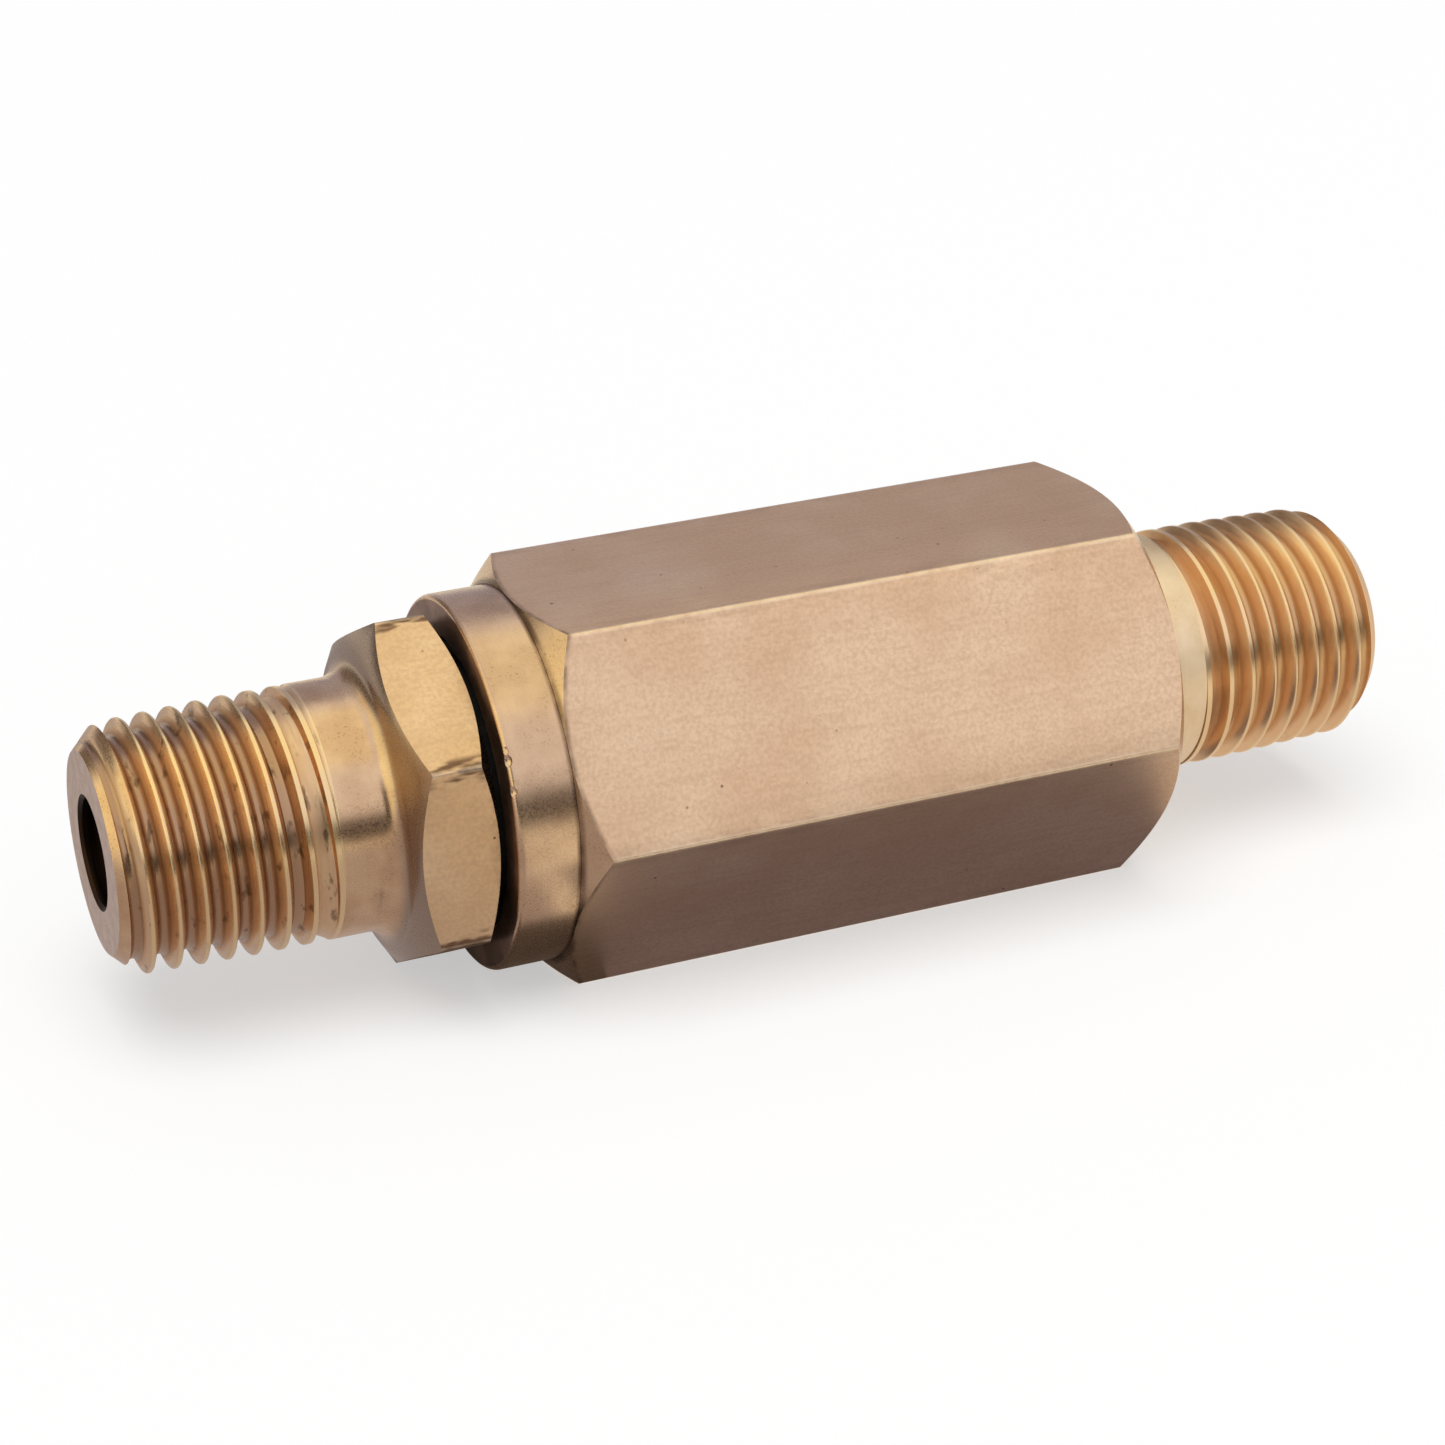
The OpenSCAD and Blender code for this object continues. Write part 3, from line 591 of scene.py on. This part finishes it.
def turned_surface(name, light, dark, stain_and_shade, rough_low, rough_high, corner=None, shaded_shoulder=None):
    """Turned brass: a soft sheen from fine tool marks round the axis, and clouds of tarnish. It may have
    painted shade darkening an inside corner at a place, and a painted grey-mauve shade that deepens on a
    shoulder between two radii."""
    material, tree, mm = measured_material(name)
    # Real tool marks lie closer than a tenth of a millimetre and wouldn't show, so they are drawn coarser.
    marks = add(tree, "TexNoise", {
        "Vector": add(tree, "Mapping", {"Vector": mm, "Scale": (1, 1 / 40, 1 / 40)}).outputs[0],
        "Scale": 1 / 0.12, "Detail": 2.0, "Roughness": BREAKUP}).outputs[0]
    cloud = add(tree, "TexNoise", {
        "Vector": mm, "Scale": 1 / 2.6, "Detail": 3.0, "Roughness": BREAKUP}).outputs[0]
    speck = add(tree, "TexNoise", {
        "Vector": mm, "Scale": 1 / 0.13, "Detail": 2.0, "Roughness": BREAKUP}).outputs[0]
    base = add(tree, "Mix", {
        0: add(tree, "MapRange", {
            "Value": cloud, "From Min": 0.35,
            "From Max": 0.65}, interpolation_type="SMOOTHSTEP").outputs[0],
        6: dark, 7: light}, data_type="RGBA").outputs[2]
    base = add(tree, "Mix", {
        0: add(tree, "MapRange", {
            "Value": marks, "From Min": 0.35, "From Max": 0.7, "To Min": 0.0,
            "To Max": 0.25}, interpolation_type="SMOOTHSTEP").outputs[0],
        6: base, 7: dark}, data_type="RGBA").outputs[2]
    # Painted shade: a grey-mauve that deepens from the inner to the outer radius and stays beyond it, over
    # the fillet and the hexagon's chamfers
    if shaded_shoulder is not None:
        base = add(tree, "Mix", {
            0: add(tree, "MapRange", {
                "Value": from_axis(tree, mm), "From Min": shaded_shoulder[0],
                "From Max": shaded_shoulder[1]}, interpolation_type="SMOOTHSTEP").outputs[0],
            6: base, 7: "#A08A7C"}, data_type="RGBA").outputs[2]
    soil = add(tree, "Math", {
        0: add(tree, "MapRange", {
            "Value": speck, "From Min": 0.58,
            "From Max": 0.7}, interpolation_type="SMOOTHSTEP").outputs[0],
        1: add(tree, "MapRange", {
            "Value": cloud, "From Min": 0.5, "From Max": 0.35, "To Min": 0.0,
            "To Max": 0.4}, interpolation_type="SMOOTHSTEP").outputs[0]}, operation="MULTIPLY").outputs[0]
    base = add(tree, "Mix", {0: soil, 6: base, 7: stain_and_shade}, data_type="RGBA").outputs[2]
    # Painted shade: the colour darkens within about 0.28 mm of an inside corner at a place along the axis
    if corner is not None:
        along = add(tree, "SeparateXYZ", {"Vector": mm}).outputs[0]
        away = add(tree, "Math", {
            0: add(tree, "Math", {
                0: along, 1: corner}, operation="SUBTRACT").outputs[0]}, operation="ABSOLUTE").outputs[0]
        dirt = add(tree, "Math", {
            0: add(tree, "MapRange", {
                "Value": away, "From Min": 0.28,
                "From Max": 0.05}, interpolation_type="SMOOTHSTEP").outputs[0],
            1: add(tree, "MapRange", {
                "Value": cloud, "From Min": 0.3, "From Max": 0.6, "To Min": 0.35,
                "To Max": 0.85
            }, interpolation_type="SMOOTHSTEP").outputs[0]}, operation="MULTIPLY").outputs[0]
        base = add(tree, "Mix", {0: dirt, 6: base, 7: stain_and_shade}, data_type="RGBA").outputs[2]
    rough = add(tree, "MapRange", {
        "Value": speck, "From Min": 0.3, "From Max": 0.7, "To Min": rough_low,
        "To Max": rough_high}, interpolation_type="SMOOTHSTEP").outputs[0]
    surface(tree, base, rough, marks, 0.004, Metallic=1.0)
    return material


def thread_surface(name, crest, flank, root, dirt, rough_range, low_at, high_at):
    """Cut brass thread: bright worn crests, coppery flanks with streaks along the cut, duller and smoother
    roots, and patches of old dirt as strong as dirt. The crest's radius runs from low_at to high_at, two
    (place, radius) pairs."""
    material, tree, mm = measured_material(name)
    along = add(tree, "SeparateXYZ", {"Vector": mm}).outputs[0]
    crest_r = add(tree, "MapRange", {"Value": along}, From_Min=low_at[0], From_Max=high_at[0],
                  To_Min=low_at[1], To_Max=high_at[1]).outputs["Result"]
    down = add(tree, "Math", {0: crest_r, 1: from_axis(tree, mm)}, operation="SUBTRACT").outputs[0]
    # Real streaks are a few hundredths of a millimetre wide and wouldn't show, so they are drawn coarser.
    streak = add(tree, "TexNoise", {
        "Vector": add(tree, "Mapping", {"Vector": mm, "Scale": (1, 1 / 12, 1 / 12)}).outputs[0],
        "Scale": 1 / 0.16, "Detail": 3.0, "Roughness": BREAKUP}).outputs[0]
    cloud = add(tree, "TexNoise", {
        "Vector": mm, "Scale": 1 / 1.6, "Detail": 3.0, "Roughness": BREAKUP}).outputs[0]
    base = add(tree, "Mix", {
        0: add(tree, "MapRange", {
            "Value": streak, "From Min": 0.35, "From Max": 0.68, "To Min": 0.0,
            "To Max": 0.6}, interpolation_type="SMOOTHSTEP").outputs[0],
        6: flank, 7: crest}, data_type="RGBA").outputs[2]
    base = add(tree, "Mix", {
        0: add(tree, "MapRange", {
            "Value": cloud, "From Min": 0.35, "From Max": 0.7, "To Min": 0.2,
            "To Max": 0.85}, interpolation_type="SMOOTHSTEP").outputs[0],
        6: base, 7: flank}, data_type="RGBA").outputs[2]
    base = add(tree, "Mix", {
        0: add(tree, "MapRange", {
            "Value": down, "From Min": 0.55,
            "From Max": 0.85}, interpolation_type="SMOOTHSTEP").outputs[0],
        6: base, 7: root}, data_type="RGBA").outputs[2]
    patch = add(tree, "TexNoise", {
        "Vector": add(tree, "Mapping", {"Vector": mm, "Scale": (1, 1 / 2.5, 1 / 2.5)}).outputs[0],
        "Scale": 1 / 0.55, "Detail": 4.0, "Roughness": BREAKUP}).outputs[0]
    base = add(tree, "Mix", {
        0: add(tree, "MapRange", {
            "Value": patch, "From Min": 0.58, "From Max": 0.7, "To Min": 0.0,
            "To Max": dirt}, interpolation_type="SMOOTHSTEP").outputs[0],
        6: base, 7: "#3E2818"}, data_type="RGBA").outputs[2]
    base = add(tree, "Mix", {
        0: add(tree, "MapRange", {
            "Value": down, "From Min": 0.1, "From Max": 0.03, "To Min": 0.0,
            "To Max": 0.8}, interpolation_type="SMOOTHSTEP").outputs[0],
        6: base, 7: crest}, data_type="RGBA").outputs[2]
    rough = add(tree, "Math", {
        0: add(tree, "MapRange", {
            "Value": streak, "From Min": 0.35, "From Max": 0.7, "To Min": rough_range[0],
            "To Max": rough_range[1]}, interpolation_type="SMOOTHSTEP").outputs[0],
        1: add(tree, "Math", {
            0: add(tree, "MapRange", {
                "Value": down, "From Min": 0.25, "From Max": 0.6, "To Min": 0.2,
                "To Max": 0.42}, interpolation_type="SMOOTHSTEP").outputs[0],
            1: add(tree, "MapRange", {
                "Value": down, "From Min": 0.7, "From Max": 0.84, "To Min": 1.0,
                "To Max": 0.6
            }, interpolation_type="SMOOTHSTEP").outputs[0]
        }, operation="MULTIPLY").outputs[0]}, operation="MAXIMUM").outputs[0]
    surface(tree, base, rough, streak, 0.004, Metallic=1.0)
    return material


def faced_end():
    """Faced brass end: a greyish mauve, dulled, with rings from the facing cut."""
    material, tree, mm = measured_material("faced_brass_end")
    # About nine rings in a millimetre, where a real cut leaves more, so that they show.
    rings = add(tree, "TexNoise", {"W": from_axis(tree, mm)}, noise_dimensions="1D",
                Scale=9.0, Detail=2.0).outputs["Fac"]
    base = add(tree, "Mix", {
        0: add(tree, "MapRange", {
            "Value": add(tree, "TexNoise", {
                "Vector": mm, "Scale": 1 / 0.8, "Detail": 3.0, "Roughness": BREAKUP}).outputs[0],
            "From Min": 0.35, "From Max": 0.7}, interpolation_type="SMOOTHSTEP").outputs[0],
        6: "#CDB8AF", 7: "#DCCAC2"}, data_type="RGBA").outputs[2]
    rough = add(tree, "MapRange", {
        "Value": rings, "From Min": 0.3, "From Max": 0.7, "To Min": 0.35,
        "To Max": 0.5}, interpolation_type="SMOOTHSTEP").outputs[0]
    surface(tree, base, rough, rings, 0.01, Metallic=1.0)
    return material


def shaded_bore_wall():
    """Drilled brass wall: painted very dark brown for the shade deep in a bore, and dull, with the drill's
    rings.
    """
    material, tree, mm = measured_material("drilled_brass_bore_painted_shade")
    marks = add(tree, "TexNoise", {
        "Vector": add(tree, "Mapping", {"Vector": mm, "Scale": (1, 1 / 30, 1 / 30)}).outputs[0],
        "Scale": 1 / 0.2, "Detail": 2.0, "Roughness": BREAKUP}).outputs[0]
    # Painted shade: near-black browns for the shade inside the bore
    base = add(tree, "Mix", {
        0: add(tree, "MapRange", {
            "Value": marks, "From Min": 0.3, "From Max": 0.7}, interpolation_type="SMOOTHSTEP").outputs[0],
        6: "#1E1510", 7: "#38281D"}, data_type="RGBA").outputs[2]
    rough = add(tree, "MapRange", {
        "Value": marks, "From Min": 0.3, "From Max": 0.7, "To Min": 0.4,
        "To Max": 0.55}, interpolation_type="SMOOTHSTEP").outputs[0]
    surface(tree, base, rough, marks, 0.01, Metallic=1.0)
    return material


def phosphated_spring_steel():
    """Phosphated spring steel: nearly black, dry and slightly grainy."""
    material, tree, mm = measured_material("phosphated_spring_steel")
    # Real phosphate crystals are about a hundredth of a millimetre across, so they are drawn coarser.
    grain = add(tree, "TexNoise", {
        "Vector": mm, "Scale": 1 / 0.08, "Detail": 2.0, "Roughness": BREAKUP}).outputs[0]
    base = add(tree, "Mix", {0: grain, 6: "#2A2A2C", 7: "#4A4A4D"}, data_type="RGBA").outputs[2]
    rough = add(tree, "MapRange", {
        "Value": grain, "From Min": 0.3, "From Max": 0.7, "To Min": 0.45,
        "To Max": 0.6}, interpolation_type="SMOOTHSTEP").outputs[0]
    surface(tree, base, rough, grain, 0.004, Metallic=1.0)
    return material


def ground_stainless():
    """Ground stainless steel: bright grey with fine rings round the axis."""
    material, tree, mm = measured_material("ground_stainless_steel")
    # Real grinding marks are about a hundredth of a millimetre wide, so they are drawn coarser.
    marks = add(tree, "TexNoise", {
        "Vector": add(tree, "Mapping", {"Vector": mm, "Scale": (1, 1 / 60, 1 / 60)}).outputs[0],
        "Scale": 1 / 0.06, "Detail": 2.0, "Roughness": BREAKUP}).outputs[0]
    base = add(tree, "Mix", {0: marks, 6: "#AFB0B2", 7: "#D2D3D4"}, data_type="RGBA").outputs[2]
    rough = add(tree, "MapRange", {
        "Value": marks, "From Min": 0.3, "From Max": 0.7, "To Min": 0.18,
        "To Max": 0.3}, interpolation_type="SMOOTHSTEP").outputs[0]
    surface(tree, base, rough, marks, 0.002, Metallic=1.0)
    return material


def moulded_ptfe():
    """Moulded PTFE: milky white and waxy."""
    material, tree, mm = measured_material("moulded_ptfe")
    cloud = add(tree, "TexNoise", {
        "Vector": mm, "Scale": 1 / 0.8, "Detail": 3.0, "Roughness": BREAKUP}).outputs[0]
    base = add(tree, "Mix", {0: cloud, 6: "#E4E2DA", 7: "#F2F0EA"}, data_type="RGBA").outputs[2]
    rough = add(tree, "MapRange", {
        "Value": cloud, "From Min": 0.3, "From Max": 0.7, "To Min": 0.45,
        "To Max": 0.6}, interpolation_type="SMOOTHSTEP").outputs[0]
    surface(tree, base, rough, cloud, 0.005, IOR=1.38)
    return material


def moulded_nitrile():
    """Moulded nitrile rubber: matt black with a faint dusty bloom."""
    material, tree, mm = measured_material("moulded_nitrile_rubber")
    bloom = add(tree, "TexNoise", {
        "Vector": mm, "Scale": 1 / 0.35, "Detail": 3.0, "Roughness": BREAKUP}).outputs[0]
    base = add(tree, "Mix", {
        0: add(tree, "MapRange", {
            "Value": bloom, "From Min": 0.5, "From Max": 0.8}, interpolation_type="SMOOTHSTEP").outputs[0],
        6: "#141414", 7: "#2C2B2A"}, data_type="RGBA").outputs[2]
    rough = add(tree, "MapRange", {
        "Value": bloom, "From Min": 0.3, "From Max": 0.7, "To Min": 0.6,
        "To Max": 0.8}, interpolation_type="SMOOTHSTEP").outputs[0]
    surface(tree, base, rough, bloom, 0.006, IOR=1.52)
    return material


def finish(piece, materials, kind_of):
    """Gives each face the material that kind_of names for its place, radius and normal, in millimetres."""
    for material in materials.values():
        piece.data.materials.append(material)
    order = list(materials)
    for face in piece.data.polygons:
        centre = face.center / MM
        face.material_index = order.index(kind_of(centre.x, math.hypot(centre.y, centre.z), face.normal))
    pick(piece)
    bpy.ops.object.shade_smooth_by_angle(angle=SHARP)


stem = hollow_stem()
body = valve_body()

# The stem's turned brass has painted shade on the shoulder, from the neck's fillet outwards
stem_turned = turned_surface("turned_brass_stem_shaded_shoulder", "#E0BE9C", "#CDA888", "#6B4C36", 0.22, 0.3,
                             shaded_shoulder=(PIPE_R + 0.1, PIPE_R + 0.9))
# A darker copy of turned brass: painted shade for the collar's front face, which lies in shade beside the
# stem's hexagon
mouth_in_painted_shade = turned_surface("turned_brass_mouth_painted_shade", "#A5887A", "#7E6456", "#4E382C", 0.34, 0.42)
# The collar's material has painted shade in the corner where it meets the hexagon
collar_turned = turned_surface("turned_brass_collar_shaded_corner", "#DAB99C", "#CBA98D", "#5E4330", 0.24, 0.31,
                               corner=HEX_START)
neck_turned = turned_surface("turned_brass_neck", "#F2DCC2", "#E8CFAE", "#C0A07A", 0.46, 0.54)
end_face = faced_end()
bore = shaded_bore_wall()


def stem_finish(x, r, n):
    """The finish of the stem at a place."""
    along = x - INLET_FACE
    if r < SOCKET_R + 0.15:
        return "bore"
    if along < NEAR:
        return "face"
    if along < INLET_THREAD + PAST_THREAD:
        return "turned" if abs(r - END_FACE_R - along) < 0.1 and n.x < -0.6 else "thread"
    return "flats" if abs(n.x) < LEVEL and r > STEM_HEX_AF / 2 - LEVEL else "turned"


def body_finish(x, r, n):
    """The finish of the body at a place."""
    if x > OUTLET_FACE - NEAR and r > BORE_R:
        return "face"
    # The collar's front face takes the darker copy, painted with shade
    if x < MOUTH + NEAR and r > 8:
        return "mouth"
    if x > OUTLET_FACE - OUTLET_THREAD - PAST_THREAD and r > 5.2:
        return "thread"
    if x > HEX_END - NEAR and r > 6:
        return "neck"
    if r < 9 and x > MOUTH + 0.3:
        return "bore"
    return "flats" if abs(n.x) < LEVEL and r > BODY_HEX_AF / 2 - LEVEL and x > HEX_START else "turned"


finish(stem, {
    "turned": stem_turned, "face": end_face, "bore": bore,
    "flats": drawn_bar_flats("drawn_brass_adjusting_flats", "#E8C8A6", "#DDB892", STEM_HEX_AF, 0.35, 0.9),
    "thread": thread_surface("cut_brass_inlet_thread", "#EFD2A6", "#DAB490", "#B08C70", 0.6, (0.24, 0.32),
                             (INLET_FACE, PIPE_CREST_R), (INLET_FACE + PIPE_TAPERED, PIPE_R))}, stem_finish)
finish(body, {
    "turned": collar_turned, "mouth": mouth_in_painted_shade, "neck": neck_turned, "face": end_face, "bore": bore,
    "flats": drawn_bar_flats("drawn_brass_body_flats", "#E9CAAF", "#E0BDA0", BODY_HEX_AF, 0.6, 0.1,
                              front=HEX_START),
    "thread": thread_surface("cut_brass_outlet_thread", "#EACDA8", "#E0B892", "#CFA67C", 0.1, (0.28, 0.36),
                             (OUTLET_FACE - PIPE_TAPERED, PIPE_R), (OUTLET_FACE, PIPE_CREST_R))},
       body_finish)

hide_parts("hollow_stem")
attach(stem, "stem_set")
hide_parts("valve_body")
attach(body, "housing")

inner_brass = turned_surface("turned_brass_inside", "#D8B479", "#C59A5E", "#8A6438", 0.22, 0.32)
FINISHES = {
    "turned_brass": inner_brass, "spring_steel": phosphated_spring_steel(),
    "stainless_steel": ground_stainless(), "ptfe": moulded_ptfe(), "nitrile_rubber": moulded_nitrile(),
    "body_brass": collar_turned, "stem_brass": stem_turned}
for part in frame["record"]["subparts"]:
    node = frame["nodes"][part["node"]]
    node.data.materials.clear()
    node.data.materials.append(FINISHES[part["material_slot"]])


# ---- Studio -----------------------------------------------------------------------------------------

def floor():
    """Pale matt floor under the valve."""
    bpy.ops.object.select_all(action="DESELECT")
    bpy.ops.mesh.primitive_plane_add(size=6, location=(0, 0, FLOOR))
    plane = bpy.context.object
    plane.name = "floor"
    material, tree = empty_material("white_paper_floor")
    shader = add(tree, "BsdfDiffuse", Color=colour("#FAFAFA"))
    white = add(tree, "Emission", Color=(1, 1, 1, 1), Strength=1.0)
    camera_ray = add(tree, "LightPath").outputs["Is Camera Ray"]
    share = add(tree, "Math", {0: camera_ray, 1: 0.5}, operation="MULTIPLY").outputs[0]
    mix = add(tree, "MixShader", {0: share, 1: shader.outputs[0], 2: white.outputs[0]})
    add(tree, "OutputMaterial", {"Surface": mix.outputs[0]})
    plane.data.materials.append(material)


def card(name, low, high, light):
    """A flat card between two corners, seen only in the metal. light is its brightness, where the white
    surroundings are 1."""
    low, high = Vector(low), Vector(high)
    thin = min(range(3), key=lambda axis: high[axis] - low[axis])
    turn = {0: (0, math.pi / 2, 0), 1: (math.pi / 2, 0, 0), 2: (0, 0, 0)}[thin]
    bpy.ops.object.select_all(action="DESELECT")
    bpy.ops.mesh.primitive_plane_add(size=1, rotation=turn)
    piece = bpy.context.object
    piece.name = name
    apply_place(piece)
    piece.scale = [side or 1 for side in high - low]
    piece.location = (low + high) / 2
    apply_place(piece)
    material, tree = empty_material(name)
    shader = add(tree, "Emission", Color=(*light, 1))
    add(tree, "OutputMaterial", {"Surface": shader.outputs[0]})
    piece.data.materials.append(material)
    piece.visible_camera = piece.visible_diffuse = piece.visible_shadow = False


def hang(name, lamp, place):
    """Hangs a lamp that faces the valve."""
    holder = bpy.data.objects.new(name, lamp)
    bpy.context.scene.collection.objects.link(holder)
    holder.location = place
    holder.rotation_euler = Vector(place).to_track_quat("Z", "Y").to_euler()
    return holder


def softbox(name, place, size, brightness):
    """A soft area lamp. brightness is how bright its face is, where the white surroundings are 1."""
    lamp = bpy.data.lights.new(name, "AREA")
    lamp.shape = "RECTANGLE"
    lamp.size, lamp.size_y = size
    lamp.energy = brightness * math.pi * size[0] * size[1]
    hang(name, lamp, place).visible_glossy = False


def overhead():
    """Broad soft light on the floor, which the metal doesn't mirror."""
    lamp = bpy.data.lights.new("overhead", "SUN")
    lamp.energy = 2.0
    lamp.angle = math.radians(50)
    hang("overhead", lamp, (-0.1, -0.15, 0.6)).visible_glossy = False


def studio_world():
    """White for camera, glossy and transmission rays, and a soft fill for the rest."""
    world = bpy.data.worlds.new("studio")
    world.use_nodes = True
    tree = world.node_tree
    tree.nodes.clear()
    path = add(tree, "LightPath")
    mirrored = add(tree, "Math", {
        0: path.outputs["Is Glossy Ray"],
        1: path.outputs["Is Transmission Ray"]}, operation="MAXIMUM").outputs[0]
    seen = add(tree, "Math", {
        0: path.outputs["Is Camera Ray"], 1: mirrored}, operation="MAXIMUM").outputs[0]
    strength = add(tree, "MapRange", {"Value": seen}, To_Min=0.4, To_Max=1.0).outputs["Result"]
    sky = add(tree, "Background", {"Strength": strength}, Color=(1, 1, 1, 1))
    add(tree, "OutputWorld", {"Surface": sky.outputs[0]})
    bpy.context.scene.world = world


floor()
over = FLOOR + CARD_GAP
card("grey_wall_behind", (-0.9, 0.6, FLOOR), (2.2, 0.6, 0.72), (0.41, 0.4, 0.47))
card("dark_wall_behind_right", (0.42, 0.59, FLOOR), (1.4, 0.59, 0.6), (0.16, 0.14, 0.13))
card("warm_wall_behind_left", (-0.9, 0.58, 0.4), (-0.5, 0.58, 0.8), (1.1, 1.0, 0.65))
card("brown_wall_behind", (-0.9, 0.59, FLOOR), (-0.1, 0.59, 0.32), (0.17, 0.14, 0.12))
card("black_strip_in_front", (-0.4, -0.62, FLOOR), (1.0, -0.62, 0.16), (0.04, 0.032, 0.03))
card("black_screen_front_left", (-0.85, -0.62, FLOOR), (-0.4, -0.62, 0.5), (0.05, 0.04, 0.035))
card("black_floor_in_front", (-0.4, -0.62, over), (1.0, -0.12, over), (0.04, 0.032, 0.03))
card("warm_wall_left", (-0.9, -0.6, 0.02), (-0.9, 0.55, 0.8), (1.35, 1.28, 0.8))
card("warm_ceiling", (-0.4, -0.45, 0.8), (1.0, 0.45, 0.8), (1.15, 1.1, 0.82))
card("bright_wall_right", (0.3, -0.61, 0.17), (1.2, -0.61, 0.9), (1.15, 1.12, 1.05))
card("cream_floor", (-0.5, -0.12, over), (0.5, 0.3, over), (1.0, 0.94, 0.76))
over += CARD_GAP
# Painted shadow: a grey card on the floor, from under the inlet thread out to the left, stands in for the
# thread's shadow and is seen only in the metal
card("painted_shadow_left_under_thread", (-0.3, -0.06, over), (-0.013, 0.12, over), (0.5, 0.45, 0.43))
over += CARD_GAP
# Painted shadow: dark and dim cards on the floor under the body, the collar and the neck stand in for the
# valve's own shadow there, seen only in the metal
card("painted_shadow_under_body", (-0.011, -0.024, over), (0.024, 0.015, over), (0.16, 0.135, 0.15))
card("painted_shadow_under_neck", (0.024, -0.024, over), (0.05, 0.015, over), (0.8, 0.72, 0.6))
card("painted_shadow_under_collar", (-0.0215, -0.0115, over), (-0.011, 0.03, over), (0.07, 0.055, 0.048))
softbox("key", (0.2, -0.5, 0.42), (0.7, 0.5), 0.3)
overhead()
studio_world()

# The camera stands in front, above and to the left, and is rolled by a fraction of a degree.
camera = bpy.data.cameras.new("camera")
camera.sensor_width = 36
camera.lens = 87.2
holder = bpy.data.objects.new("camera", camera)
bpy.context.scene.collection.objects.link(holder)
holder.location = (-0.06758, -0.16055, 0.08401)
view_back = Vector((-0.34268, -0.83358, 0.43320))
roll = Quaternion((0, 0, 1), math.radians(-0.72))
holder.rotation_euler = (view_back.to_track_quat("Z", "Y") @ roll).to_euler()
bpy.context.scene.camera = holder
bpy.context.scene.view_settings.view_transform = "Standard"
